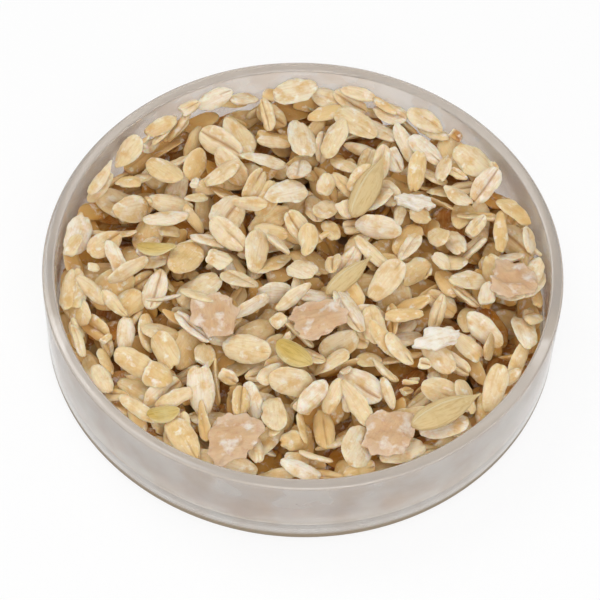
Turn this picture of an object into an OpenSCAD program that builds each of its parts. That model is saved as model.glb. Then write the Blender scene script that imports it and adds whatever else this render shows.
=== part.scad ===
// Shallow clear dish filled with rolled grain. Every flake is a separate piece that rests on those below it.

/* [Dish] */
// Outside diameter
dish_od = 100; // [80:1:130]
// Height from the table to the rim
dish_h = 19; // [16:0.5:26]
// Thickness of the side wall
wall_t = 2.4; // [1.6:0.1:4]
// Thickness of the base
base_t = 2.8; // [2:0.1:4]
// Radius of the corner inside
corner_r = 2.8; // [1:0.1:5]
// Radius round the foot
foot_r = 1.6; // [0.5:0.1:2.4]
// Rounding of the two rim edges
lip_r = 0.5; // [0.2:0.05:0.7]

/* [Flakes] */
// Mean length of a whole flake
flake_l = 7.6; // [5:0.1:9]
// Width as a share of the length
flake_aspect = 0.64; // [0.55:0.01:0.75]
// Mean thickness
flake_t = 1.4; // [1:0.05:1.6]
// Thickness at the edge as a share of the whole
edge_share = 0.75; // [0.4:0.05:0.8]
// Depth of the crease as a share of the thickness
crease_share = 0.3; // [0.1:0.02:0.4]
// Width of the crease as a share of the flake's width
crease_width = 0.2; // [0.1:0.02:0.3]

/* [Other pieces] */
// Length of a grain that is still in its husk
grain_l = 12.5; // [9:0.5:15]
// Width of such a grain
grain_w = 3.6; // [2.5:0.1:4.5]
// Length of an empty husk
husk_l = 7.5; // [5:0.5:10]
// Thickness of an empty husk
husk_t = 0.45; // [0.3:0.05:0.6]
// Width of a ragged bran flake
bran_w = 9; // [6:0.5:10]
// Thickness of a bran flake
bran_t = 0.8; // [0.6:0.05:1.2]

/* [Bed] */
// Drop from the rim to the feed beside the wall
rim_drop = 1.8; // [1:0.2:6]
// Rise of the feed from the wall to the middle
heap_rise = 0.4; // [0:0.2:2]
// Flakes tipped in, as a share of the bed's space
tip_share = 0.37; // [0.24:0.01:0.38]
// Steepest lean of a flake that has settled, as rise over run
lean_max = 0.6; // [0.2:0.05:0.8]
// Share of the upper flakes that stand on edge
steep_share = 0.2; // [0:0.02:0.4]
// Lean of a flake on edge, as rise over run
steep_lean = 1; // [0.8:0.05:1.5]
// Clearance between a flake and what it rests on
rest_gap = 0.05; // [0.03:0.01:0.2]
// Clearance between the feed and the dish
glass_gap = 0.3; // [0.3:0.05:0.6]
// Seed of the scatter
scatter_seed = 23; // [1:1:99]

/* [Hidden] */
courses = 20;
inner_r = dish_od / 2 - wall_t;
bed_r = inner_r - glass_gap;
bed_top = dish_h - rim_drop;
flake_v = 0.62 * flake_l * flake_l * flake_aspect * flake_t;
tipped = ceil(tip_share * PI * bed_r * bed_r * (bed_top - base_t) / flake_v);
roll = [for (k = [0 : 6]) rands(0, 1, tipped, scatter_seed + k)];
// Kinds of piece
whole = 0;
split = 1;
chip = 2;
bran = 3;
grain = 4;
husk = 5;
// Room round an outline for the edge of a piece that leans
skin = 0.12;
// Corners round a flake's outline, as shares of half its length and half its width
corners = [
    [1, 0.36], [0.5, 0.95], [-0.5, 0.95], [-1, 0.36],
    [-1, -0.36], [-0.5, -0.95], [0.5, -0.95], [1, -0.36]
];
// Pieces laid on top last: kind, place as shares of the bed's radius, turn, size
bran_size = [1.1 * bran_w, bran_w, bran_t];
grain_size = [grain_l, grain_w, 0.4 * grain_w];
husk_size = [husk_l, 0.5 * husk_l, 0.18 * husk_l];
laid = [
    [bran, [0.07, -0.26], 30, bran_size],
    [bran, [-0.35, -0.27], 100, bran_size],
    [bran, [0.86, -0.04], 150, bran_size],
    [bran, [0.36, -0.76], 70, bran_size],
    [bran, [-0.24, -0.84], 10, bran_size],
    [grain, [0.25, 0.39], 68, grain_size],
    [grain, [0.57, -0.69], 35, grain_size],
    [grain, [0.18, -0.04], 45, 0.75 * grain_size],
    [husk, [-0.6, 0.06], -10, husk_size],
    [husk, [-0.52, -0.72], 20, 0.8 * husk_size],
    [husk, [-0.02, -0.43], -30, husk_size],
    [split, [0.54, -0.34], 10, [flake_l, flake_l * flake_aspect, flake_t]],
    [split, [0.45, 0.36], 0, [flake_l, flake_l * flake_aspect, flake_t]]
];

function course_name(k) = str("flakes_course_", k < 9 ? "0" : "", k + 1);

function frac(v) = v - floor(v);
function unit(v) = v / norm(v);
function kind_of(i) = i % 9 == 4 ? split : i % 13 == 7 ? chip : whole;

// Height of the dish's inside at a distance from its axis
function floor_at(r) = let (e = min(r, inner_r) - inner_r + corner_r)
    base_t + (e <= 0 ? 0 : corner_r - sqrt(corner_r * corner_r - e * e));

// Where a flake is tipped in: over the whole dish, a little denser outwards and pressed to the wall
function spot(i) = let (
        u = frac(0.5 + i * 0.7548777),
        v = frac(0.5 + i * 0.5698403),
        r = bed_r * pow(u, 0.47)
    ) (r > bed_r - 6 ? bed_r : r) * [cos(360 * v), sin(360 * v)];

// Length, width and thickness of a flake in the bed
function size_of(i) = let (
        small = kind_of(i) == chip ? 0.45 : kind_of(i) == split ? 0.8 : 1,
        l = flake_l * small * (0.78 + 0.44 * roll[0][i])
    ) [l, l * flake_aspect * (0.74 + 0.44 * roll[1][i]), flake_t * (0.85 + 0.3 * roll[2][i])];

// Turn of a flake: any way in the middle, and mostly along the wall beside it
function turn_of(i, at, l) = norm(at) > bed_r - 0.6 * l ? atan2(at.y, at.x) + 60 + 60 * roll[3][i]
    : 360 * roll[3][i];

// Lean that a flake on edge keeps, or none
function lean_of(i, yaw) = i < 0.7 * tipped || i > 0.93 * tipped || roll[5][i] > steep_share ? [0, 0]
    : let (a = yaw + (i % 2 == 0 ? 90 : -90) + 50 * (roll[6][i] - 0.5)) steep_lean * [cos(a), sin(a)];

// Corners of an outline along two directions, with room for the lean
function ring(size, u, v, lean) = let (
        room = skin + 0.25 * size.z * norm(lean),
        a = size.x / 2 + room,
        b = size.y / 2 + room
    ) [for (k = corners) k.x * a * u + k.y * b * v];

// Moves an outline in until the wall clears it
function inside(c, p) = let (e = max([for (q = p) norm(c + q)]) - bed_r)
    e <= 0 ? c : inside(c * (1 - (e + 0.02) / norm(c)), p);

// The part of outline p that lies to the left of the line from a to b
function cut(p, a, b) = let (
        d = b - a,
        s = [for (q = p) d.x * (q.y - a.y) - d.y * (q.x - a.x)],
        n = len(p)
    ) min(s) >= 0 ? p : max(s) <= 0 ? [] : [for (i = [0 : n - 1]) let (j = (i + 1) % n) each [
        if (s[i] >= 0) p[i],
        if (s[i] * s[j] < 0) p[i] + (p[j] - p[i]) * s[i] / (s[i] - s[j])
    ]];

// What two outlines share
function shared(p, q, k = 0) = len(p) == 0 || k == len(q) ? p
    : shared(cut(p, q[k], q[(k + 1) % len(q)]), q, k + 1);

// A settled piece is [centre, axes, size, plane, half height, outline, scaled directions, kind, top]
function covers(f, p) = let (d = [p.x - f[0].x, p.y - f[0].y], a = d * f[6][0], b = d * f[6][1])
    a * a + b * b < 1;

function top_at(p, near) = max([
    floor_at(norm(p)),
    for (f = near) if (covers(f, p)) f[3] * [p.x, p.y, 1] + f[4]
]);

// Five heights under a piece, at its middle and towards its ends and sides
function feel(c, size, u, v, near) =
    [for (q = [[0, 0], 0.36 * size.x * u, -0.36 * size.x * u, 0.38 * size.y * v, -0.38 * size.y * v])
        top_at(c + q, near)];

function apart(p, f, c) = let (d = [f[0].x - c.x, f[0].y - c.y])
    max([for (q = p) q * d]) < min([for (q = f[5]) q * d]);

// Points that hold an outline up, on the dish and on the pieces under it
function props(p, c, near) = [
    for (q = p) [q.x, q.y, floor_at(norm(q)) + glass_gap],
    for (f = near) if (!apart(p, f, c))
        for (q = shared(p, f[5])) [q.x, q.y, min(f[3] * [q.x, q.y, 1] + f[4], f[8]) + rest_gap]
];

// Leans a piece away from its highest prop, step by step, and keeps the lowest: [height, lean]
function tip(hold, c, g, step, best, k) = let (
        zs = [for (q = hold) q.z - g.x * (q.x - c.x) - g.y * (q.y - c.y)],
        z = max(zs),
        q = hold[search(z, zs)[0]],
        d = [q.x - c.x, q.y - c.y],
        next = g + step * d / max(norm(d), 0.01),
        kept = z < best[0] ? [z, g] : best
    ) k == 0 ? kept
    : tip(hold, c, norm(next) > lean_max ? lean_max * unit(next) : next, 0.8 * step, kept, k - 1);

// Axes of a piece with a turn and a lean
function axes(yaw, g) = let (
        n = unit([-g.x, -g.y, 1]),
        x = unit([cos(yaw), sin(yaw), g.x * cos(yaw) + g.y * sin(yaw)])
    ) [x, cross(n, x), n];

function outline(size, a, lean) = ring(size, [a[0].x, a[0].y], [a[1].x, a[1].y], lean);

// Drops a piece at the lowest of a few places, and lets it settle unless it keeps a lean.
// Its reach is how far it stands above and below its centre
function drop(kind, size, at, yaw, lean, slide, bed) = let (
        u = [cos(yaw), sin(yaw)],
        v = [-sin(yaw), cos(yaw)],
        steep = norm(lean) > 0,
        flat = ring(size, u, v, lean),
        p = steep ? outline(size, axes(yaw, lean), lean) : flat,
        far = 1.2 * size.x + 3,
        near = [for (f = bed) if (abs(f[0].x - at.x) < far && abs(f[0].y - at.y) < far) f],
        tries = [for (s = slide) inside(at + s, flat)],
        felt = [for (c = tries) feel(c, size, u, v, near)],
        sums = [for (s = felt) s * [1, 1, 1, 1, 1]],
        pick = search(min(sums), sums)[0],
        c = tries[pick],
        deep = steep ? 0 : max(felt[pick]) - 1.5 * lean_max * size.x,
        under = [for (f = near) if (f[0].z + f[4] > deep) f],
        hold = props([for (q = p) c + q], c, under),
        rest = tip(hold, c, lean, 0.3, [1000, lean], steep ? 0 : 15),
        g = rest[1],
        a = axes(yaw, g),
        h = size.z / 2 / a[2].z,
        reach = 0.54 * norm([size.x * a[0].z, size.y * a[1].z]) + size.z / 2 * a[2].z + skin / 2,
        z = max([for (q = hold) q.z + min(h - g * [q.x - c.x, q.y - c.y], reach)])
    ) [[c.x, c.y, z], a, size, [g.x, g.y, z - g * c], h,
        [for (q = outline(size, a, g)) c + q], [2 / size.x * u, 2 / size.y * v], kind, z + reach];

function slide_of(i) = let (a = 360 * roll[4][i])
    [for (k = [0 : 3]) k == 0 ? [0, 0] : 3 * [cos(a + 120 * k), sin(a + 120 * k)]];

function drop_flake(i, bed) = let (size = size_of(i), at = spot(i), yaw = turn_of(i, at, size.x))
    drop(kind_of(i), size, at, yaw, lean_of(i, yaw), slide_of(i), bed);

function drop_laid(k, bed) = let (t = laid[k])
    drop(t[0], t[3], bed_r * t[1], t[2], [0, 0], [[0, 0]], bed);

// A flake that would stand out of the heap is left out
function keep(f, bed) = let (r = norm([f[0].x, f[0].y]) / bed_r)
    f[0].z > bed_top + heap_rise * (1 - r * r) ? bed : concat(bed, [f]);

settled = [
    for (i = 0, b = []; i <= tipped; b = i < tipped ? keep(drop_flake(i, b), b) : b, i = i + 1)
        if (i == tipped) b
][0];
count = len(settled);
course_size = ceil(count / courses);
feed = [
    for (k = 0, b = settled; k <= len(laid); b = k < len(laid) ? concat(b, [drop_laid(k, b)]) : b, k = k + 1)
        if (k == len(laid)) b
][0];

module place(f) {
    multmatrix([
        [f[1][0].x, f[1][1].x, f[1][2].x, f[0].x],
        [f[1][0].y, f[1][1].y, f[1][2].y, f[0].y],
        [f[1][0].z, f[1][1].z, f[1][2].z, f[0].z]
    ]) children();
}

// Two arcs that meet in points
module leaf(l, w) {
    r = (l * l + w * w) / (4 * w);
    intersection() {
        translate([0, w / 2 - r]) circle(r, $fn = 160);
        translate([0, r - w / 2]) circle(r, $fn = 160);
    }
}

// Two arcs with rounded ends
module oval(l, w) {
    intersection() {
        leaf(1.25 * l, w);
        circle(l / 2, $fn = 64);
    }
}

// Lens with a crease along its top
module section(w, t) {
    edge = edge_share * t;
    sag = (t - edge) / 2;
    r = (w * w / 4 + sag * sag) / (2 * sag);
    difference() {
        intersection() {
            square([w + 1, t], center = true);
            translate([0, t / 2 - r]) circle(r, $fn = 240);
            translate([0, r - t / 2]) circle(r, $fn = 240);
        }
        translate([0, t / 2])
            polygon([[-crease_width * w / 2, 0.01], [0, -crease_share * t], [crease_width * w / 2, 0.01]]);
    }
}

module flake(size, over) {
    rotate([over ? 180 : 0, 0, 0])
        intersection() {
            linear_extrude(size.z, center = true) oval(size.x, size.y);
            rotate([90, 0, 90]) linear_extrude(size.x + 1, center = true) section(size.y, size.z);
        }
}

// Broken across, a little off the middle
module split_flake(size, over) {
    rotate([over ? 180 : 0, 0, 0])
        intersection() {
            linear_extrude(size.z, center = true)
                intersection() {
                    oval(size.x, size.y);
                    translate([-0.2 * size.x, -0.6 * size.y]) rotate(12) square([size.x, 2 * size.y]);
                }
            rotate([90, 0, 90]) linear_extrude(size.x + 1, center = true) section(size.y, size.z);
        }
}

module chip_piece(size) {
    linear_extrude(0.8 * size.z, center = true)
        polygon([for (k = corners) [0.46 * size.x * k.x, 0.42 * size.y * k.y * (1 - 0.3 * k.x)]]);
}

// Thin plate with a ragged edge
module bran_flake(size, seed) {
    r = rands(0.78, 1, 14, scatter_seed + seed);
    linear_extrude(size.z, center = true)
        polygon([for (k = [0 : 13]) r[k] / 2 * [size.x * cos(k * 360 / 14), size.y * sin(k * 360 / 14)]]);
}

// Pointed spindle, flatter underneath, with a crease
module grain_in_husk(size) {
    t = 0.62 * size.y;
    difference() {
        intersection() {
            linear_extrude(3 * t, center = true) leaf(size.x, size.y);
            translate([0, 0, (t - size.z) / 2])
                rotate([90, 0, 0]) linear_extrude(size.y + 1, center = true) leaf(size.x, t);
        }
        translate([0, 0, t - size.z / 2])
            rotate([90, 0, 90])
                linear_extrude(size.x, center = true)
                    circle(0.12 * size.y, $fn = 24);
    }
}

// Curved shell with pointed ends
module green_husk(size) {
    r = (size.y * size.y / 4 + size.z * size.z) / (2 * size.z);
    intersection() {
        linear_extrude(3 * size.z, center = true) leaf(size.x, size.y);
        rotate([90, 0, 90])
            linear_extrude(size.x, center = true)
                difference() {
                    translate([0, size.z / 2 - r]) circle(r, $fn = 120);
                    translate([0, size.z / 2 - r]) circle(r - husk_t, $fn = 120);
                    translate([0, -size.z / 2 - 2 * r]) square([4 * r, 4 * r], center = true);
                }
    }
}

module piece(i) {
    f = feed[i];
    place(f) {
        if (f[7] == whole) flake(f[2], i % 2 == 0);
        if (f[7] == split) split_flake(f[2], i % 2 == 0);
        if (f[7] == chip) chip_piece(f[2]);
        if (f[7] == bran) bran_flake(f[2], i);
        if (f[7] == grain) grain_in_husk(f[2]);
        if (f[7] == husk) green_husk(f[2]);
    }
}

module pieces(kind, first, last, tint) {
    color(tint)
        for (i = [first : last - 1])
            if (feed[i][7] == kind) piece(i);
}

module course(k) {
    pieces(whole, k * course_size, min(count, (k + 1) * course_size), oat);
}

module laid_piece(k, tint) {
    color(tint) piece(count + k);
}

module clear_dish() {
    color([0.82, 0.82, 0.86, 0.5])
        rotate_extrude($fn = 180)
            difference() {
                union() {
                    translate([0, foot_r]) square([dish_od / 2, dish_h - foot_r - lip_r]);
                    square([dish_od / 2 - foot_r, 2 * foot_r]);
                    translate([dish_od / 2 - foot_r, foot_r]) circle(foot_r, $fn = 64);
                    translate([inner_r + lip_r, dish_h - 2 * lip_r]) square([wall_t - 2 * lip_r, 2 * lip_r]);
                    translate([inner_r + lip_r, dish_h - lip_r]) circle(lip_r, $fn = 48);
                    translate([dish_od / 2 - lip_r, dish_h - lip_r]) circle(lip_r, $fn = 48);
                }
                translate([-1, base_t + corner_r]) square([inner_r + 1, dish_h]);
                translate([-1, base_t]) square([inner_r - corner_r + 1, dish_h]);
                translate([inner_r - corner_r, base_t + corner_r]) circle(corner_r, $fn = 64);
            }
}

oat = [0.87, 0.76, 0.57];
pink = [0.86, 0.68, 0.56];
straw = [0.8, 0.65, 0.42];
green = [0.75, 0.68, 0.34];
floury = [0.94, 0.9, 0.83];
third = floor(count / 3);

clear_dish();
for (k = [0 : courses - 1])
    course(k);
pieces(split, 0, third, oat);  // split_flakes_low
pieces(split, third, 2 * third, oat);  // split_flakes_middle
pieces(split, 2 * third, count, oat);  // split_flakes_top
pieces(chip, 0, third, oat);  // chips_low
pieces(chip, third, 2 * third, oat);  // chips_middle
pieces(chip, 2 * third, count, oat);  // chips_top
laid_piece(0, pink);  // bran_flake_centre
laid_piece(1, pink);  // bran_flake_left
laid_piece(2, pink);  // bran_flake_right
laid_piece(3, pink);  // bran_flake_front_right
laid_piece(4, pink);  // bran_flake_front_left
laid_piece(5, straw);  // grain_in_husk_back
laid_piece(6, straw);  // grain_in_husk_front
laid_piece(7, straw);  // grain_in_husk_middle
laid_piece(8, green);  // green_husk_left
laid_piece(9, green);  // green_husk_front
laid_piece(10, green);  // green_husk_middle
laid_piece(11, floury);  // floury_flake_right
laid_piece(12, floury);  // floury_flake_back
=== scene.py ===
import math
import random

import bmesh
import bpy
import numpy as np
from mathutils import Matrix, Vector, noise


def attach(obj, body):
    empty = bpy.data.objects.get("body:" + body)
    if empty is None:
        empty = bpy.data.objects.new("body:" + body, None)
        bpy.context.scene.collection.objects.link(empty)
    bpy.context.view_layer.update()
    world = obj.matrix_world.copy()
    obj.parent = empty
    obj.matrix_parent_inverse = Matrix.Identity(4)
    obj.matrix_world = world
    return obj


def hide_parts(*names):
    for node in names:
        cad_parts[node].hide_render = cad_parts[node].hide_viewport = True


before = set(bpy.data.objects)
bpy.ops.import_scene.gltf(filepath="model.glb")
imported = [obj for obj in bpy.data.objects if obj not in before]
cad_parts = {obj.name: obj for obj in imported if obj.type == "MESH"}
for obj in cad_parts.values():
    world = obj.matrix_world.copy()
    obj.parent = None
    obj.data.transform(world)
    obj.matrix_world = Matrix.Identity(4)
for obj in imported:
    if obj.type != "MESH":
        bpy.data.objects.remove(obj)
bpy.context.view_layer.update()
mm = 0.001
print("frame loaded:", len(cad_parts), "nodes")


# helpers for materials
def linearColour(code):
    parts = [int(code[k:k + 2], 16) / 255 for k in (1, 3, 5)]
    return [p / 12.92 if p <= 0.04045 else ((p + 0.055) / 1.055) ** 2.4 for p in parts] + [1]


def addNode(tree, kind, links=None, stops=None, **settings):
    node = tree.nodes.new(kind)
    for key, value in settings.items():
        setattr(node, key, value)
    for key, value in (links or {}).items():
        if isinstance(value, bpy.types.NodeSocket):
            tree.links.new(value, node.inputs[key])
        else:
            node.inputs[key].default_value = linearColour(value) if isinstance(value, str) else value
    if stops:
        while len(node.color_ramp.elements) < len(stops):
            node.color_ramp.elements.new(0.5)
        for element, (place, colour) in zip(node.color_ramp.elements, stops):
            element.position = place
            element.color = linearColour(colour) if isinstance(colour, str) else [colour] * 3 + [1]
    return node


def newMaterial(name):
    material = bpy.data.materials.new(name)
    material.use_nodes = True
    tree = material.node_tree
    tree.nodes.clear()
    out = tree.nodes.new("ShaderNodeOutputMaterial")
    return material, tree, out


# rolled grain: steamed and pressed kernel, matt and floury, cream with faint tan lines along it
# grainSpace is the place on the flake in mm, grainTint holds its tone, crease and edge
def grainMaterial(name, look):
    material, tree, out = newMaterial(name)
    space = addNode(tree, "ShaderNodeAttribute", attribute_name="grainSpace").outputs["Vector"]
    tint = addNode(tree, "ShaderNodeAttribute", attribute_name="grainTint")
    masks = addNode(tree, "ShaderNodeSeparateColor", {"Color": tint.outputs["Color"]})
    tone = addNode(tree, "ShaderNodeValToRGB", {"Fac": masks.outputs["Red"]}, look["tones"])
    along = addNode(tree, "ShaderNodeMapping", {"Vector": space, "Scale": (0.12, 1, 1)})  # lines run the length
    lines = addNode(tree, "ShaderNodeTexNoise", {
        "Vector": along.outputs["Vector"], "Scale": 1 / look["lineGap"], "Detail": 3, "Roughness": 0.6})
    lineRamp = addNode(tree, "ShaderNodeValToRGB", {"Fac": lines.outputs["Fac"]}, look["lineRamp"])
    lined = addNode(tree, "ShaderNodeMix", {
        "Factor": lineRamp.outputs["Color"], "A": tone.outputs["Color"], "B": look["line"]}, data_type="RGBA")
    patches = addNode(tree, "ShaderNodeTexNoise", {
        "Vector": space, "Scale": 1 / look["patchSize"], "Detail": 4, "Roughness": 0.55})
    patchRamp = addNode(tree, "ShaderNodeValToRGB", {"Fac": patches.outputs["Fac"]}, look["patchRamp"])
    patched = addNode(tree, "ShaderNodeMix", {
        "Factor": patchRamp.outputs["Color"], "A": lined.outputs["Result"], "B": look["patch"]},
        data_type="RGBA")
    dust = addNode(tree, "ShaderNodeTexNoise", {
        "Vector": space, "Scale": 1 / look["flourSize"], "Detail": 3, "Roughness": 0.6})
    dustRamp = addNode(tree, "ShaderNodeValToRGB", {"Fac": dust.outputs["Fac"]}, look["flourRamp"])
    dusted = addNode(tree, "ShaderNodeMix", {
        "Factor": dustRamp.outputs["Color"], "A": patched.outputs["Result"], "B": look["flour"]},
        data_type="RGBA")
    groove = addNode(tree, "ShaderNodeMapRange", {
        "Value": masks.outputs["Green"], "From Min": 0.5, "From Max": 1.0, "To Max": look["creaseShare"]})
    creased = addNode(tree, "ShaderNodeMix", {
        "Factor": groove.outputs["Result"], "A": dusted.outputs["Result"], "B": look["crease"]},
        data_type="RGBA")
    edged = addNode(tree, "ShaderNodeMix", {
        "Factor": masks.outputs["Blue"], "A": creased.outputs["Result"], "B": look["edge"]},
        data_type="RGBA")
    grit = addNode(tree, "ShaderNodeTexNoise", {
        "Vector": space, "Scale": 1 / look["gritSize"], "Detail": 3, "Roughness": 0.6})
    relief = addNode(tree, "ShaderNodeMath", {0: lines.outputs["Fac"], 1: grit.outputs["Fac"]}, operation="ADD")
    height = addNode(tree, "ShaderNodeMath", {
        0: patches.outputs["Fac"], 1: -look["hollow"], 2: relief.outputs["Value"]},
        operation="MULTIPLY_ADD")  # the tan patches lie in hollows
    bump = addNode(tree, "ShaderNodeBump", {
        "Height": height.outputs["Value"], "Strength": 0.5, "Distance": look["gritDepth"] * mm})
    rough = addNode(tree, "ShaderNodeMapRange", {
        "Value": grit.outputs["Fac"], "To Min": look["rough"][0], "To Max": look["rough"][1]})
    shader = addNode(tree, "ShaderNodeBsdfPrincipled", {
        "Base Color": edged.outputs["Result"], "Roughness": rough.outputs["Result"],
        "Normal": bump.outputs["Normal"], "IOR": 1.45, "Specular IOR Level": 0.28,
        "Subsurface Weight": look["soft"], "Subsurface Radius": (1.0, 0.58, 0.24),
        "Subsurface Scale": 0.85 * mm})
    tree.links.new(shader.outputs["BSDF"], out.inputs["Surface"])
    return material


oatLook = {
    "tones": [(0.0, "#AE6E2E"), (0.05, "#CA8832"), (0.12, "#DBA652"), (0.42, "#EDD3A0"), (0.58, "#F1DFBB"),
              (0.85, "#F6ECDA"), (1.0, "#F9F2E6")],
    "line": "#D6AF6E", "lineGap": 0.4, "lineRamp": [(0.45, 0.0), (0.74, 0.5)],  # bran lines 0.4 mm apart
    "patch": "#DCB472", "patchSize": 2.6, "patchRamp": [(0.46, 0.0), (0.68, 0.85)],
    "flour": "#FAF4E8", "flourSize": 1.8, "flourRamp": [(0.56, 0.0), (0.7, 0.75)],
    "crease": "#AC7232", "creaseShare": 0.75, "edge": "#F7EAD0",
    "gritSize": 0.5, "gritDepth": 0.15, "rough": (0.5, 0.72), "soft": 0.5, "hollow": 2.5}
# bran with its endosperm torn open: pinkish skin, chalk white where the flour shows
branLook = {
    "tones": [(0.0, "#C79C74"), (0.5, "#D9B68D"), (1.0, "#E3C9A8")],
    "line": "#C2946F", "lineGap": 0.6, "lineRamp": [(0.45, 0.0), (0.75, 0.5)],
    "patch": "#F0E6DA", "patchSize": 3.0, "patchRamp": [(0.52, 0.0), (0.66, 0.8)],
    "flour": "#C79273", "flourSize": 1.2, "flourRamp": [(0.55, 0.0), (0.7, 0.55)],
    "crease": "#A67F62", "creaseShare": 0.6, "edge": "#E6CDB4",
    "gritSize": 0.8, "gritDepth": 0.3, "rough": (0.55, 0.8), "soft": 0.2, "hollow": 1.0}
# husk of the grain: thin straw with ribs along it and a slight polish
strawLook = {
    "tones": [(0.0, "#C9A169"), (0.5, "#DDBF8A"), (1.0, "#E9D4A6")],
    "line": "#BC9050", "lineGap": 0.3, "lineRamp": [(0.48, 0.0), (0.72, 0.55)],
    "patch": "#D0AC72", "patchSize": 3.0, "patchRamp": [(0.5, 0.0), (0.75, 0.6)],
    "flour": "#EBD7A8", "flourSize": 1.6, "flourRamp": [(0.6, 0.0), (0.75, 0.5)],
    "crease": "#7E5429", "creaseShare": 0.8, "edge": "#F0E0B6",
    "gritSize": 0.5, "gritDepth": 0.06, "rough": (0.38, 0.55), "soft": 0.15, "hollow": 1.0}
# husk cut green: yellow green with darker veins, fading to straw at the ends
greenLook = {
    "tones": [(0.0, "#C6A350"), (0.5, "#D5B768"), (1.0, "#E0C98C")],
    "line": "#A98A3C", "lineGap": 0.32, "lineRamp": [(0.47, 0.0), (0.7, 0.7)],
    "patch": "#DECE98", "patchSize": 3.5, "patchRamp": [(0.5, 0.0), (0.75, 0.6)],
    "flour": "#E6DAB0", "flourSize": 1.6, "flourRamp": [(0.6, 0.0), (0.75, 0.5)],
    "crease": "#B08B45", "creaseShare": 0.8, "edge": "#E9DDB4",
    "gritSize": 0.5, "gritDepth": 0.06, "rough": (0.38, 0.55), "soft": 0.15, "hollow": 1.0}
# flake with its floury core laid bare: chalk white and quite matt
flourLook = {
    "tones": [(0.0, "#E9DEC8"), (0.5, "#F0E7D5"), (1.0, "#F5EFE2")],
    "line": "#DCC29A", "lineGap": 0.5, "lineRamp": [(0.42, 0.0), (0.64, 0.75)],
    "patch": "#E9D7B4", "patchSize": 3.0, "patchRamp": [(0.55, 0.0), (0.75, 0.6)],
    "flour": "#F8F3E9", "flourSize": 1.6, "flourRamp": [(0.45, 0.0), (0.65, 0.8)],
    "crease": "#C9A878", "creaseShare": 0.7, "edge": "#FAF6F0",
    "gritSize": 0.5, "gritDepth": 0.12, "rough": (0.6, 0.85), "soft": 0.3, "hollow": 1.0}
oatFlake = grainMaterial("oatFlakeRolled", oatLook)
branSkin = grainMaterial("branTorn", branLook)
strawHusk = grainMaterial("strawHusk", strawLook)
greenHusk = grainMaterial("greenHusk", greenLook)
flouryOat = grainMaterial("flouryOatCore", flourLook)
print("materials: oat, bran, straw, green husk, flour")


# the CAD solids say where every piece of the feed lies
def loosePieces(node):
    bm = bmesh.new()
    bm.from_mesh(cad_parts[node].data)
    bmesh.ops.remove_doubles(bm, verts=bm.verts, dist=1e-6)
    seen, groups = set(), []
    for start in bm.verts:
        if start in seen:
            continue
        seen.add(start)
        group, queue = [], [start]
        while queue:
            v = queue.pop()
            group.append(v.co.copy())
            for e in v.link_edges:
                other = e.other_vert(v)
                if other not in seen:
                    seen.add(other)
                    queue.append(other)
        groups.append(group)
    bm.free()
    return groups


def placeOf(points, faceUp=False):
    co = np.array(points)
    mean = co.mean(0)
    axes = np.linalg.eigh(np.cov((co - mean).T))[1].T[::-1]  # long, short and thin way of the solid
    local = (co - mean) @ axes.T
    middle = (local.max(0) + local.min(0)) / 2
    half = (local.max(0) - local.min(0)) / 2
    spine = (local - middle)[abs(local[:, 1] - middle[1]) < 0.12 * half[1], 2]
    centre = mean + middle @ axes
    long, up = axes[0], axes[2]
    if faceUp:
        up = up if up[2] > 0 else -up
    elif len(spine) and spine.max() + spine.min() > 1e-6:
        up = -up  # the creased face looks along up
    if long[0] < 0:
        long = -long
    place = Matrix([list(row) for row in np.array([long, np.cross(up, long), up]).T]).to_4x4()
    place.translation = Vector(centre)
    return place, Vector(half)


polesAlongX = Matrix.Rotation(math.pi / 2, 4, "Y")
dishInside = {"radius": 47.4 * mm, "floor": 2.9 * mm}
toasted = {"spot": Vector((30, 36.8, 15)) * mm, "reach": 2.8 * mm}  # a brown grain by the back wall


def grainMesh():
    bm = bmesh.new()
    layers = (bm.verts.layers.float_vector.new("grainSpace"), bm.verts.layers.float_color.new("grainTint"),
              bm.edges.layers.float.new("crease_edge"), bm.verts.layers.float.new("crease_vert"))
    return bm, layers


def keepInside(verts):
    for v in verts:
        reach = math.hypot(v.co.x, v.co.y)
        if reach > dishInside["radius"]:
            v.co.xy *= dishInside["radius"] / reach
        v.co.z = max(v.co.z, dishInside["floor"])


# one flake: a ball with its poles at the ends, pressed flat, worn at the edge and tipped over a little
# petals are broad with thin edges, kernels keep their crease, slats are rolled narrow
flakeForms = {
    "petal": {"slim": (0.84, 1.02), "section": 1.6, "thick": (0.6, 0.85), "depth": (0.0, 0.3), "crisp": 0.8,
              "curl": 0.32, "bend": 0.12, "twist": 0.3, "worn": 0.19, "nick": 0.26, "tip": 24},
    "kernel": {"slim": (0.82, 0.98), "section": 0.9, "thick": (0.8, 1.05), "depth": (0.6, 1.2), "crisp": 0.4,
               "curl": 0.14, "bend": 0.08, "twist": 0.2, "worn": 0.11, "nick": 0.1, "tip": 26},
    "slat": {"slim": (0.58, 0.78), "section": 1.25, "thick": (0.6, 0.85), "depth": (0.0, 0.9), "crisp": 0.6,
             "curl": 0.35, "bend": 0.14, "twist": 0.5, "worn": 0.15, "nick": 0.12, "tip": 30}}
flakeCage = {"around": 12, "length": 8, "lotSpread": 0.06, "slatBelow": 0.5, "kernelBelow": 0.73,
             "tone": (0.58, 0.12), "toneLimits": (0.06, 0.85), "pale": 0.05, "paleTone": 0.88,
             "taper": 0.24, "offCentre": 0.14, "lopsided": 0.16, "blunt": (1.9, 2.9),  # blunter ends are fuller
             "notch": 0.26, "germ": 0.55, "creaseStart": (-1.7, 0.1), "wander": (0.14, 2.5), "grooveCrisp": 0.5,
             "nickDepth": (0.1, 0.26), "jagged": 0.12, "dentSize": 2.2, "dentShare": 0.14, "dentSeed": 8,
             "wrinkleSize": (8, 1.3), "wrinkleDepth": 0.22, "steepest": 48, "nod": 7}  # mm and degrees
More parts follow.
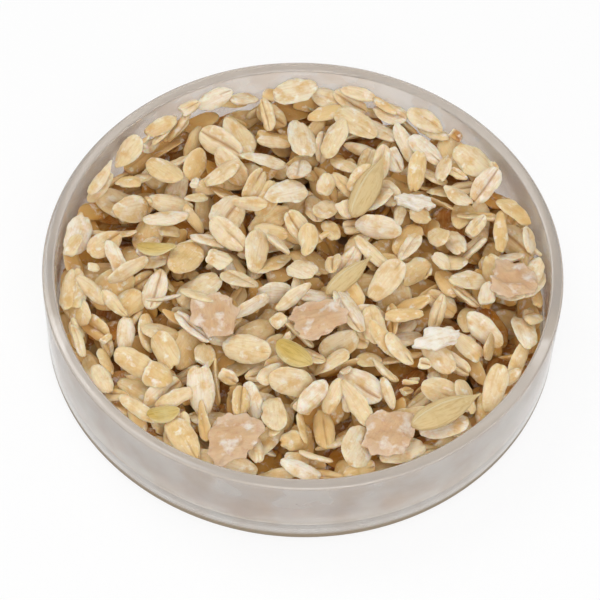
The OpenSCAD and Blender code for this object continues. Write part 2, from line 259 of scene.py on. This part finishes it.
noise.seed_set(flakeCage["dentSeed"])  # noise_vector takes its seed from the clock otherwise
# the tone each layer adds is painted shade: the lower the course, the browner its flakes
topLayer = {"from": 10, "swell": (1.16, 1.15, 1.05), "tip": 1.0, "tone": 0.0}  # from this course up
midLayer = {"from": 6, "swell": (1.2, 1.3, 1.0), "tip": 0.8, "tone": -0.12}
deepLayer = {"swell": (1.5, 1.8, 1.0), "tip": 0.3, "tone": -0.26}  # spread to fill; its lower tone is painted shade, brown deep in the bed
depthShade = {"top": 16.5 * mm, "depth": 7 * mm, "share": 0.34}  # painted shade: the lower a flake lies, the browner it is made and the fainter its light edge


def layerOf(k):
    return topLayer if k >= topLayer["from"] else midLayer if k >= midLayer["from"] else deepLayer


def patternShift(rng):
    return Vector([rng.uniform(-50, 50) for axis in range(3)])  # no two pieces share a pattern


def moldFlake(bm, layers, place, half, rng, bed, brokenAt=None):
    cage = flakeCage
    made = bmesh.ops.create_uvsphere(
        bm, u_segments=cage["around"], v_segments=cage["length"], radius=1, matrix=polesAlongX)["verts"]
    spaceLayer, tintLayer, sharpLayer, cornerLayer = layers
    lot = half.y / half.x + rng.gauss(0, cage["lotSpread"])  # narrow solids become slats, broad ones petals
    form = flakeForms["slat" if lot < cage["slatBelow"] else "kernel" if lot < cage["kernelBelow"] else "petal"]
    # the layer's tone offset is painted shade
    tone = rng.gauss(*cage["tone"]) + bed["tone"]
    if rng.random() > cage["pale"] or bed["tone"]:
        tone = min(max(tone, cage["toneLimits"][0]), cage["toneLimits"][1])
    else:
        tone = cage["paleTone"]
    if (place.translation - toasted["spot"]).length < toasted["reach"]:
        tone = 0
    taper = rng.uniform(-cage["taper"], cage["taper"])
    curl, bend, twist = (rng.uniform(-1, 1) * form[key] for key in ("curl", "bend", "twist"))
    slim, thin, depth = (rng.uniform(*form[key]) for key in ("slim", "thick", "depth"))
    offCentre = rng.uniform(-cage["offCentre"], cage["offCentre"])
    lopsided = rng.uniform(-cage["lopsided"], cage["lopsided"])
    blunt = rng.uniform(*cage["blunt"])
    notch = [rng.random() ** 3 * cage["notch"], rng.random() ** 4 * cage["notch"]]
    germ = rng.random() if rng.random() < cage["germ"] else 0  # brown at the germ end
    start = rng.uniform(*cage["creaseStart"])  # where along the flake its crease begins
    shift = patternShift(rng)
    grooved, rim = set(), set()
    for v in made:
        x, y, z = v.co
        r = math.hypot(y, z)
        pole = r <= 1e-4
        c, s = (0, 0) if pole else (y / r, z / r)
        wide = max(1 - abs(x) ** blunt, 0) ** 0.55 * (1 + taper * x) * slim
        thick = max(1 - abs(x) ** 3.4, 0) ** 0.5 * thin
        px = x
        py = wide * math.copysign(abs(c) ** 0.85, c)
        pz = thick * math.copysign(abs(s) ** form["section"], s)
        crease = edge = 0
        if abs(c) < 0.3 and abs(x) > 0.85:
            px *= 1 - notch[0 if x > 0 else 1]  # ends split where the crease runs out
        if x < -0.85:
            crease = germ * (1 if pole else 0.75)
        if s > 0.97:  # the crease, which wanders and starts part of the way along
            run = min(max((x - start) * 1.5, 0), 1)
            sway = cage["wander"][0] * noise.noise(Vector((cage["wander"][1] * x, 0, 0)) + shift)
            py += (offCentre + sway) * wide
            pz *= 1 - depth * run * (1 - x ** 6)
            crease = max(crease, min(depth * run, 1))
            grooved.add(v)
        elif s > 0.8:  # the lobes beside it
            py = py * 0.6 + offCentre * wide
            pz *= 1.1 + math.copysign(lopsided, c)
        elif s < -0.8:  # the plain face
            pz *= 1.06
        if not pole and abs(s) < 0.6:  # the edge, worn and nicked
            edge = 0.5 if abs(s) < 0.1 else 0.15
            inward = rng.uniform(*cage["nickDepth"]) if rng.random() < form["nick"] else 0
            if abs(s) < 0.1:
                rim.add(v)
                v[cornerLayer] = form["crisp"] if inward else 0  # chipped out with a sharp corner
            py *= 1 + rng.uniform(-1, 0.5) * form["worn"] - inward
            px += rng.uniform(-1, 1) * 0.5 * form["worn"]
        if brokenAt is not None and px < brokenAt:
            px = brokenAt + cage["jagged"] * noise.noise(Vector((3 * py, 2 * pz, 0)) + shift)
            edge = 1
        pz += bend * (px * px - 0.3) * half.x / half.z + curl * (py * py - 0.3) * half.y / half.z
        turn = twist * px
        yy, zz = py * half.y, pz * half.z
        yy, zz = yy * math.cos(turn) - zz * math.sin(turn), yy * math.sin(turn) + zz * math.cos(turn)
        co = Vector(a * b for a, b in zip((px * half.x, yy, zz), bed["swell"]))
        co += noise.noise_vector(co / (cage["dentSize"] * mm) + shift) * cage["dentShare"] * half.z
        lengthwise = Vector((co.x / cage["wrinkleSize"][0], co.y / cage["wrinkleSize"][1], 0)) / mm
        co.z += noise.noise(lengthwise + shift) * cage["wrinkleDepth"] * mm
        v[spaceLayer] = co / mm + shift
        v[tintLayer] = (tone, crease, edge, 1)
        v.co = co
    sharpness = [(rim, form["crisp"])] + ([(grooved, cage["grooveCrisp"])] if depth > 0.5 else [])
    for ring, share in sharpness:
        for e in {e for v in ring for e in v.link_edges if e.other_vert(v) in ring}:
            e[sharpLayer] = share
    lean = min(max(rng.gauss(0, form["tip"]), -cage["steepest"]), cage["steepest"])
    tipped = Matrix.Rotation(math.radians(lean) * bed["tip"], 4, "X")
    nodded = Matrix.Rotation(math.radians(rng.gauss(0, cage["nod"])), 4, "Y")
    bmesh.ops.transform(bm, matrix=place @ nodded @ tipped, verts=made)
    keepInside(made)
    # painted shade by depth: lower vertices get a browner tone and lose their light edge
    for v in made:
        sunk = min(max((depthShade["top"] - v.co.z) / depthShade["depth"], 0), 1)
        tone, crease, edge, _ = v[tintLayer]
        v[tintLayer] = (max(tone - depthShade["share"] * sunk, 0), crease, edge * (1 - sunk), 1)


pitting = bpy.data.textures.new("grainPitting", "CLOUDS")  # small hollows pressed into every face
pitting.noise_scale = 1.5 * mm
pitting.noise_depth = 2


def finishPiece(bm, name, node, material, body, levels=0, pitted=0):
    for f in bm.faces:
        f.smooth = True
    mesh = bpy.data.meshes.new(name)
    bm.to_mesh(mesh)
    bm.free()
    piece = bpy.data.objects.new(name, mesh)
    bpy.context.collection.objects.link(piece)
    mesh.materials.append(material)
    if levels:
        rounding = piece.modifiers.new("rounding", "SUBSURF")
        rounding.levels = rounding.render_levels = levels
    if pitted:
        dents = piece.modifiers.new("pitting", "DISPLACE")
        dents.texture = pitting
        dents.texture_coords = "LOCAL"
        dents.strength = pitted * mm
    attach(piece, body)
    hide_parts(node)
    return piece


flakeCount = 0
flakePits = 0.4  # mm
topCourses = 13  # from here on the flakes show, and are rounded finer
for k in range(1, 21):
    node = "flakes_course_%02d" % k
    bm, layers = grainMesh()
    rng = random.Random(100 + k)
    for points in loosePieces(node):
        place, half = placeOf(points)
        moldFlake(bm, layers, place, half, rng, layerOf(k))
        flakeCount += 1
    levels = 1 if k < topCourses else 2
    finishPiece(bm, "rolledFlakes%02d" % k, node, oatFlake, "feed", levels, flakePits)
brokenForms = [("brokenFlakes", "split_flakes_", (-0.8, -0.5)), ("flakeChips", "chips_", (-0.6, -0.2))]
for part in ("low", "middle", "top"):
    rng = random.Random("split" + part)
    bed = deepLayer if part == "low" else topLayer
    levels = 2 if part == "top" else 1
    for title, node, cut in brokenForms:
        bm, layers = grainMesh()
        for points in loosePieces(node + part):
            place, half = placeOf(points)
            moldFlake(bm, layers, place, half, rng, bed, rng.uniform(*cut))
            flakeCount += 1
        finishPiece(bm, title + part.title(), node + part, oatFlake, "feed", levels, flakePits)
print("flakes:", flakeCount)

# ragged bran flake: a sheet broken off all round, buckled, with some thickness
branForm = {"cells": (22, 20), "breaks": 10, "reach": (0.8, 1.25), "buckle": 1.0, "thick": 0.3, "pits": 0.25}
tornSheet = {"size": 1.35, "crumple": (0.7, 1.5), "wave": (0.3, 3), "fold": 0.6,
             "reach": 1.1, "ragged": (0.2, 3), "frayed": (0.12, 8)}  # pairs say how much and how fine


def moldBran(bm, layers, place, half, rng, form):
    bmesh.ops.create_grid(bm, x_segments=form["cells"][0], y_segments=form["cells"][1], size=tornSheet["size"])
    for k in range(form["breaks"]):
        a = 2 * math.pi * (k + rng.uniform(0.1, 0.9)) / form["breaks"]
        way = Vector((math.cos(a), math.sin(a), 0))
        bmesh.ops.bisect_plane(bm, geom=bm.verts[:] + bm.edges[:] + bm.faces[:], dist=1e-4,
                               plane_co=way * rng.uniform(*form["reach"]), plane_no=way, clear_outer=True)
    shift = patternShift(rng)
    fold = rng.uniform(0, math.pi)

    def waves(kind, x, y, level):
        fine = tornSheet[kind][1]
        return noise.noise(Vector((x * fine, y * fine, level)) + shift)

    for v in bm.verts:
        x, y = v.co.x, v.co.y
        along = x * math.cos(fold) + y * math.sin(fold)
        crumple = 0.6 - 2.2 * abs(waves("crumple", x, y, 0))  # sharp ridges, soft hollows
        bulge = tornSheet["crumple"][0] * crumple + tornSheet["wave"][0] * waves("wave", x, y, 7)
        z = (bulge - tornSheet["fold"] * abs(along) ** 2) * form["buckle"] * mm
        ragged = tornSheet["reach"] + tornSheet["ragged"][0] * waves("ragged", x, y, 3)
        ragged += tornSheet["frayed"][0] * waves("frayed", x, y, 5)
        v.co = (x * half.x * ragged, y * half.y * ragged, z)
    bmesh.ops.recalc_face_normals(bm, faces=bm.faces)
    bmesh.ops.solidify(bm, geom=bm.faces[:], thickness=form["thick"] * mm)
    for v in bm.verts:
        rim = max(abs(v.co.x) / half.x, abs(v.co.y) / half.y)
        v[layers[0]] = v.co / mm + shift
        v[layers[1]] = (0.5 + 0.4 * noise.noise(v.co / (3 * mm) + shift), 0, max(0, rim - 0.7), 1)
    bmesh.ops.transform(bm, matrix=place, verts=bm.verts)
    keepInside(bm.verts)


for k, side in enumerate(("centre", "left", "right", "front_right", "front_left")):
    node = "bran_flake_" + side
    bm, layers = grainMesh()
    place, half = placeOf(loosePieces(node)[0], True)
    moldBran(bm, layers, place, half, random.Random(60 + k), branForm)
    title = "branFlake" + side.title().replace("_", "")
    finishPiece(bm, title, node, branSkin, "feed", 1, branForm["pits"])
print("bran flakes: 5")

# floury core broken out of a flake: thicker than bran, flatter, long and narrow
flouryForm = {"cells": (16, 12), "breaks": 8, "reach": (0.78, 1.1), "buckle": 0.5, "thick": 0.9, "pits": 0.4,
              "slim": (1.2, 0.8)}
for k, side in enumerate(("right", "back")):
    node = "floury_flake_" + side
    bm, layers = grainMesh()
    place, half = placeOf(loosePieces(node)[0], True)
    half.x, half.y = half.x * flouryForm["slim"][0], half.y * flouryForm["slim"][1]
    moldBran(bm, layers, place, half, random.Random(40 + k), flouryForm)
    finishPiece(bm, "flouryFlake" + side.title(), node, flouryOat, "feed", 1, flouryForm["pits"])
print("floury flakes: 2")

# grain still in its husk: spindle wrapped in a broad ribbed blade over a narrow one, drawn out to a tip
grainForm = {"around": 24, "length": 14, "ribs": 9, "ribHeight": 0.045, "thick": 0.2, "pits": 0.15,
             "core": 0.9, "gap": 0.05, "reach": 1.16, "swell": (1.2, 1.42, 0.95),
             "tip": (1.7, 0.95), "butt": (2.4, 0.6),
             "blades": [{"from": 1.0, "to": 3.7, "cells": 10, "size": 1.0},
                        {"from": -0.9, "to": 1.2, "cells": 7, "size": 0.93}]}  # from and to in radians


def moldGrain(bm, layers, place, half, rng, form):
    shift = patternShift(rng)
    half = Vector(a * b for a, b in zip(half, form["swell"]))
    body = bmesh.ops.create_uvsphere(
        bm, u_segments=form["around"], v_segments=form["length"], radius=1, matrix=polesAlongX)["verts"]

    def girth(x):
        drop, fullness = form["tip"] if x > 0 else form["butt"]
        return max(1 - abs(x) ** drop, 0) ** fullness

    for v in body:
        x, y, z = v.co
        a = math.atan2(z, y)
        wide = girth(x) * form["core"]
        v.co = (x * half.x, wide * math.cos(a) * half.y, wide * math.sin(a) * half.z)
        v[layers[0]] = Vector((v.co.x / mm, a * 1.6, 0)) + shift
        v[layers[1]] = (0.3, 0, 0, 1)
    for blade in form["blades"]:
        made = bmesh.ops.create_grid(bm, x_segments=form["length"], y_segments=blade["cells"], size=1)["verts"]
        faces = {f for v in made for f in v.link_faces}
        for v in made:
            x, w = v.co.x, v.co.y
            x = x * form["reach"] if x > 0 else x
            a = blade["from"] + (blade["to"] - blade["from"]) * (w + 1) / 2
            rib = 1 + form["ribHeight"] * math.cos(form["ribs"] * a)
            r = (girth(min(x, 0.98)) * rib + form["gap"]) * blade["size"]
            v.co = (x * half.x, r * math.cos(a) * half.y, r * math.sin(a) * half.z)
            v[layers[0]] = Vector((v.co.x / mm, a * 1.6, 0)) + shift
            v[layers[1]] = (0.6, min(max(0, -x - 0.86) * 6, 1), 0.9 if w < -0.95 else 0, 1)
        bmesh.ops.solidify(bm, geom=list(faces), thickness=form["thick"] * mm)
    bmesh.ops.recalc_face_normals(bm, faces=bm.faces)
    bmesh.ops.transform(bm, matrix=place, verts=bm.verts)
    keepInside(bm.verts)


for k, side in enumerate(("back", "front", "middle")):
    node = "grain_in_husk_" + side
    bm, layers = grainMesh()
    place, half = placeOf(loosePieces(node)[0], True)
    moldGrain(bm, layers, place, half, random.Random(80 + k), grainForm)
    finishPiece(bm, "huskedGrain" + side.title(), node, strawHusk, "feed", 1, grainForm["pits"])
print("grains in the husk: 3")

# empty green husk: a leaf bent to a trough with veins along it
huskForm = {"cells": (14, 12), "veins": 5, "veinHeight": 0.09, "thick": 0.3, "pits": 0.1,
            "trough": 1.9, "arch": 0.25, "deep": 0.9, "swell": (1.1, 1.35, 1.0)}


def moldHusk(bm, layers, place, half, rng, form):
    shift = patternShift(rng)
    half = Vector(a * b for a, b in zip(half, form["swell"]))
    bmesh.ops.create_grid(bm, x_segments=form["cells"][0], y_segments=form["cells"][1], size=1)
    for v in bm.verts:
        u, w = v.co.x, v.co.y
        wide = max(1 - abs(u) ** 2.2, 0.0) ** (0.75 if u > 0 else 0.5)
        crown = 1 - form["trough"] * w * w * wide * wide
        vein = form["veinHeight"] * math.cos(form["veins"] * math.pi * w) * wide
        lift = (crown - form["arch"] * u * u) * half.z * form["deep"] + vein * mm
        v.co = (u * half.x, w * wide * half.y, lift)
        v[layers[0]] = Vector((v.co.x / mm, w * 2.2, 0)) + shift
        v[layers[1]] = (0.5 + 0.3 * u, max(0, abs(u) - 0.8) * 3, 0.8 * abs(w) ** 6, 1)
    bmesh.ops.recalc_face_normals(bm, faces=bm.faces)
    bmesh.ops.solidify(bm, geom=bm.faces[:], thickness=form["thick"] * mm)
    bmesh.ops.remove_doubles(bm, verts=bm.verts, dist=0.02 * mm)
    bmesh.ops.transform(bm, matrix=place, verts=bm.verts)
    keepInside(bm.verts)


for k, side in enumerate(("left", "front", "middle")):
    node = "green_husk_" + side
    bm, layers = grainMesh()
    place, half = placeOf(loosePieces(node)[0], True)
    moldHusk(bm, layers, place, half, random.Random(90 + k), huskForm)
    finishPiece(bm, "greenHusk" + side.title(), node, greenHusk, "feed", 1, huskForm["pits"])
print("green husks: 3")

# clear dish, turned from its half section, sizes in mm
dishForm = {"outside": 50, "height": 19, "wall": 2.4, "base": 2.8, "corner": 2.8, "foot": 1.6, "lip": 0.5,
            "steps": 192}  # outside is a radius


def clearDish(form):
    bm = bmesh.new()
    inner = form["outside"] - form["wall"]
    section = [(0, 0), (form["outside"], 0), (form["outside"], form["height"]), (inner, form["height"]),
               (inner, form["base"]), (0, form["base"])]
    verts = [bm.verts.new((x * mm, 0, z * mm)) for x, z in section]
    for a, b in zip(verts, verts[1:]):
        bm.edges.new((a, b))
    rounded = [(1, form["foot"], 6), (2, form["lip"], 4), (3, form["lip"], 4), (4, form["corner"], 8)]
    for corner, radius, steps in rounded:
        bmesh.ops.bevel(bm, geom=[verts[corner]], offset=radius * mm, offset_type="OFFSET", segments=steps,
                        profile=0.5, affect="VERTICES", material=-1)
    bmesh.ops.spin(bm, geom=bm.verts[:] + bm.edges[:], cent=(0, 0, 0), axis=(0, 0, 1), angle=2 * math.pi,
                   steps=form["steps"], use_merge=True)
    bmesh.ops.remove_doubles(bm, verts=bm.verts, dist=1e-6)
    bmesh.ops.recalc_face_normals(bm, faces=bm.faces)
    return bm


# pressed soda-lime glass, clear but hazy with handling: what is behind it is blurred, dust clings to it
# in smears, the ground rim is greyer and the scuffed foot rougher; the brown on the floor inside and the darker
# foot are painted shade
glassLook = {"clear": "#FDF9F5", "dust": "#EDE0D4", "dustSize": 6, "dustRamp": [(0.42, 0.0), (0.62, 0.8)],
             "ground": "#F6EEE6", "rim": (18.3, 18.7), "footShade": "#9C8463", "foot": (3.4, 2.2),
             "scuffRough": 0.55, "dishFloorShade": "#B5803C", "dishFloorShadeZone": (46, 2.6),
             "rough": (0.05, 0.15), "hazeSize": 22, "clarity": 0.72}


def hazyGlass(look):
    material, tree, out = newMaterial("pressedGlassHazy")
    spot = addNode(tree, "ShaderNodeTexCoord").outputs["Object"]
    level = addNode(tree, "ShaderNodeSeparateXYZ", {"Vector": spot}).outputs["Z"]
    smears = addNode(tree, "ShaderNodeTexNoise", {
        "Vector": spot, "Scale": 1 / (look["dustSize"] * mm), "Detail": 2})
    smearRamp = addNode(tree, "ShaderNodeValToRGB", {"Fac": smears.outputs["Fac"]}, look["dustRamp"])
    dusty = addNode(tree, "ShaderNodeMix", {
        "Factor": smearRamp.outputs["Color"], "A": look["clear"], "B": look["dust"]}, data_type="RGBA")
    rim = addNode(tree, "ShaderNodeMapRange", {
        "Value": level, "From Min": look["rim"][0] * mm, "From Max": look["rim"][1] * mm})
    foot = addNode(tree, "ShaderNodeMapRange", {
        "Value": level, "From Min": look["foot"][0] * mm, "From Max": look["foot"][1] * mm})
    ground = addNode(tree, "ShaderNodeMix", {
        "Factor": rim.outputs["Result"], "A": dusty.outputs["Result"], "B": look["ground"]}, data_type="RGBA")
    # painted shade: the foot is made dark brown-grey
    footShadedGlass = addNode(tree, "ShaderNodeMix", {
        "Factor": foot.outputs["Result"], "A": ground.outputs["Result"], "B": look["footShade"]}, data_type="RGBA")
    flat = addNode(tree, "ShaderNodeVectorMath", {0: spot, 1: (1, 1, 0)}, operation="MULTIPLY")
    away = addNode(tree, "ShaderNodeVectorMath", {0: flat.outputs["Vector"]}, operation="LENGTH")
    inside = addNode(tree, "ShaderNodeMath", {
        0: away.outputs["Value"], 1: look["dishFloorShadeZone"][0] * mm}, operation="LESS_THAN")
    above = addNode(tree, "ShaderNodeMath", {0: level, 1: look["dishFloorShadeZone"][1] * mm}, operation="GREATER_THAN")
    dishFloorShaded = addNode(tree, "ShaderNodeMath", {
        0: inside.outputs["Value"], 1: above.outputs["Value"]},
        operation="MULTIPLY")  # painted shade: brown laid on the floor of the dish, where gaps in the feed show shade
    floorShadedGlass = addNode(tree, "ShaderNodeMix", {
        "Factor": dishFloorShaded.outputs["Value"], "A": footShadedGlass.outputs["Result"], "B": look["dishFloorShade"]}, data_type="RGBA")
    haze = addNode(tree, "ShaderNodeTexNoise", {
        "Vector": spot, "Scale": 1 / (look["hazeSize"] * mm), "Detail": 2})
    rough = addNode(tree, "ShaderNodeMapRange", {
        "Value": haze.outputs["Fac"], "To Min": look["rough"][0], "To Max": look["rough"][1]})
    rubbed = addNode(tree, "ShaderNodeMath", {
        0: foot.outputs["Result"], 1: look["scuffRough"]}, operation="MULTIPLY")
    dull = addNode(tree, "ShaderNodeMath", {
        0: rough.outputs["Result"], 1: rubbed.outputs["Value"]}, operation="MAXIMUM")
    shader = addNode(tree, "ShaderNodeBsdfPrincipled", {
        "Base Color": floorShadedGlass.outputs["Result"], "Roughness": dull.outputs["Value"], "IOR": 1.52,
        "Transmission Weight": look["clarity"]})
    tree.links.new(shader.outputs["BSDF"], out.inputs["Surface"])
    return material


finishPiece(clearDish(dishForm), "clearDish", "clear_dish", hazyGlass(glassLook), "dish")
print("dish turned")

# floor: pale card that keeps the shadow
floorForm = {"size": 3.0, "card": "#F8F8F8", "glow": (0.0, 0.88),
             "shade": (37 * mm, 51.5 * mm)}  # less glow under the dish


def backgroundRays(tree):
    rays = addNode(tree, "ShaderNodeLightPath")
    seen = addNode(tree, "ShaderNodeMath", {
        0: rays.outputs["Is Camera Ray"], 1: rays.outputs["Is Glossy Ray"]}, operation="MAXIMUM")
    seen = addNode(tree, "ShaderNodeMath", {
        0: seen.outputs["Value"], 1: rays.outputs["Is Transmission Ray"]}, operation="MAXIMUM")
    return seen.outputs["Value"]


def paleFloor(form):
    material, tree, out = newMaterial("floorCard")
    spot = addNode(tree, "ShaderNodeTexCoord").outputs["Object"]
    away = addNode(tree, "ShaderNodeVectorMath", {0: spot}, operation="LENGTH")
    clear = addNode(tree, "ShaderNodeMapRange", {
        "Value": away.outputs["Value"], "From Min": form["shade"][0], "From Max": form["shade"][1],
        "To Min": form["glow"][0], "To Max": form["glow"][1]}, interpolation_type="SMOOTHSTEP")
    part = addNode(tree, "ShaderNodeMath", {
        0: backgroundRays(tree), 1: clear.outputs["Result"]}, operation="MULTIPLY")
    card = addNode(tree, "ShaderNodeBsdfDiffuse", {"Color": form["card"]})
    glow = addNode(tree, "ShaderNodeEmission", {"Color": "#FFFFFF", "Strength": 1.0})
    mix = addNode(tree, "ShaderNodeMixShader", {
        0: part.outputs["Value"], 1: card.outputs["BSDF"], 2: glow.outputs["Emission"]})
    tree.links.new(mix.outputs["Shader"], out.inputs["Surface"])
    return material


bm = bmesh.new()
bmesh.ops.create_grid(bm, x_segments=1, y_segments=1, size=floorForm["size"] / 2)
mesh = bpy.data.meshes.new("floor")
bm.to_mesh(mesh)
bm.free()
floor = bpy.data.objects.new("floor", mesh)
bpy.context.collection.objects.link(floor)
mesh.materials.append(paleFloor(floorForm))

# soft studio light: place in metres, watts and size of each lamp
studio = {"ambient": 0.44, "lamps": [("key", (-0.3, 0.3, 0.72), 1.85, 0.4),
                                     ("fill", (0.08, -0.42, 0.5), 1.9, 0.4)]}
world = bpy.data.worlds.new("studio")
bpy.context.scene.world = world
world.use_nodes = True
tree = world.node_tree
tree.nodes.clear()
level = addNode(tree, "ShaderNodeMapRange", {
    "Value": backgroundRays(tree), "To Min": studio["ambient"], "To Max": 1})
sky = addNode(tree, "ShaderNodeBackground", {"Color": "#FFFFFF", "Strength": level.outputs["Result"]})
addNode(tree, "ShaderNodeOutputWorld", {"Surface": sky.outputs["Background"]})
for name, place, power, size in studio["lamps"]:
    light = bpy.data.lights.new(name, "AREA")
    light.energy, light.size = power, size
    lamp = bpy.data.objects.new(name, light)
    lamp.location = place
    lamp.rotation_euler = (-Vector(place)).to_track_quat("-Z", "Y").to_euler()
    bpy.context.collection.objects.link(lamp)

# camera as the picture was taken
shot = {"distance": 0.48, "tilt": 56.14, "roll": 2.58, "lens": 145.2, "shift": (-0.0015, 0.03)}
camera = bpy.data.cameras.new("camera")
camera.sensor_width = 36
camera.lens = shot["lens"]
camera.shift_x, camera.shift_y = shot["shift"]
camera.clip_start = 0.01
viewer = bpy.data.objects.new("camera", camera)
tilt, roll = math.radians(shot["tilt"]), math.radians(shot["roll"])
back = Vector((0, -math.cos(tilt), math.sin(tilt)))
viewer.matrix_world = Matrix.Translation(back * shot["distance"]) @ (
    Matrix.Rotation(math.pi / 2 - tilt, 4, "X") @ Matrix.Rotation(roll, 4, "Z"))
bpy.context.collection.objects.link(viewer)
bpy.context.scene.camera = viewer
bpy.context.scene.view_settings.view_transform = "Standard"
print("light and camera set")
